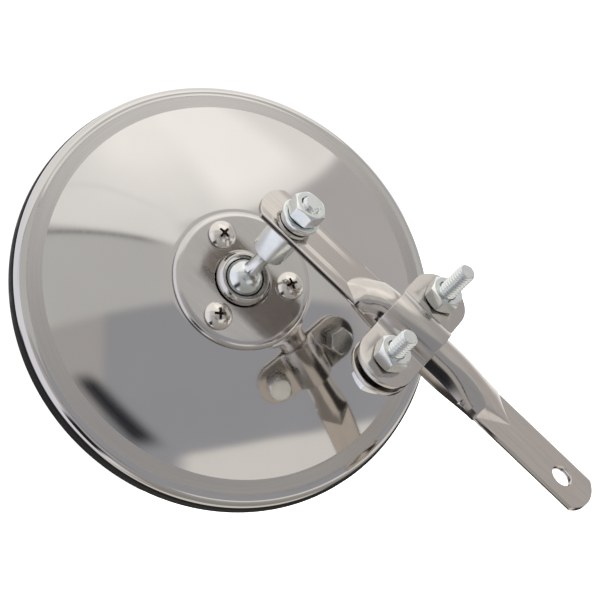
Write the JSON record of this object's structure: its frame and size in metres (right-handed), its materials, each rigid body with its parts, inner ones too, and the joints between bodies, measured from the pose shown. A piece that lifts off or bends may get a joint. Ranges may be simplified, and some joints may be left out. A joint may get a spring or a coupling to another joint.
{
  "type": "convex spot mirror",
  "caption": "Round convex mirror in a domed steel housing on a ball stud, with a flattened-tube arm and a two-plate bolted tube clamp.",
  "frame": {"origin": "centre of the bolt hole in the arm's far flattened end, in the middle of the flattened tube", "axes": "+Z along the arm from the bolt hole to the ball stud, +Y along the stud away from the glass, +X the side that the mirror's back leans to"},
  "size_m": [0.1401, 0.108, 0.2117],
  "materials": {
    "satin_steel": "satin stainless",
    "polished_steel": "polished stainless",
    "zinc": "bright zinc plate",
    "rubber": "matt black",
    "mirror": "silvered convex glass"
  },
  "bodies": {
    "arm": {"arm_tube": "satin_steel"},
    "stud": {"ball_stud": "zinc", "stud_lock_washer": "zinc", "stud_flat_washer": "zinc", "stud_nut": "zinc"},
    "seat": {"ball_seat": "zinc"},
    "head": {"housing": "polished_steel", "rim_gasket": "rubber", "mirror_glass": "mirror", "hub_plate": "satin_steel", "socket_ring": "polished_steel", "backing_plate": "zinc", "seat_spring": "zinc", "hub_screw_1": "satin_steel", "hub_screw_2": "satin_steel", "hub_screw_3": "satin_steel", "hub_nut_1": "zinc", "hub_nut_2": "zinc", "hub_nut_3": "zinc"},
    "clamp": {"clamp_plate_back": "satin_steel", "clamp_plate_front": "satin_steel", "clamp_bolt_left": "zinc", "clamp_bolt_right": "zinc", "clamp_nut_left": "zinc", "clamp_nut_right": "zinc"}
  },
  "joints": [
    {"name": "stud_swivel", "type": "hinge", "parent": "arm", "child": "stud", "pos_m": [0, 0, 0.1222], "axis": [0, 1, 0], "continuous": true},
    {"name": "head_tilt", "type": "hinge", "parent": "stud", "child": "seat", "pos_m": [0, -0.03255, 0.1222], "axis": [-0.1201, 0, -0.9928], "range_deg": [-52, 1.8]},
    {"name": "head_spin", "type": "hinge", "parent": "seat", "child": "head", "pos_m": [0, -0.03255, 0.1222], "axis": [0.4211, 0.9056, -0.051], "continuous": true},
    {"name": "clamp_slide", "type": "slide", "parent": "arm", "child": "clamp", "axis": [0, 0, -1], "range_m": [-0.0005, 0.0055]}
  ]
}
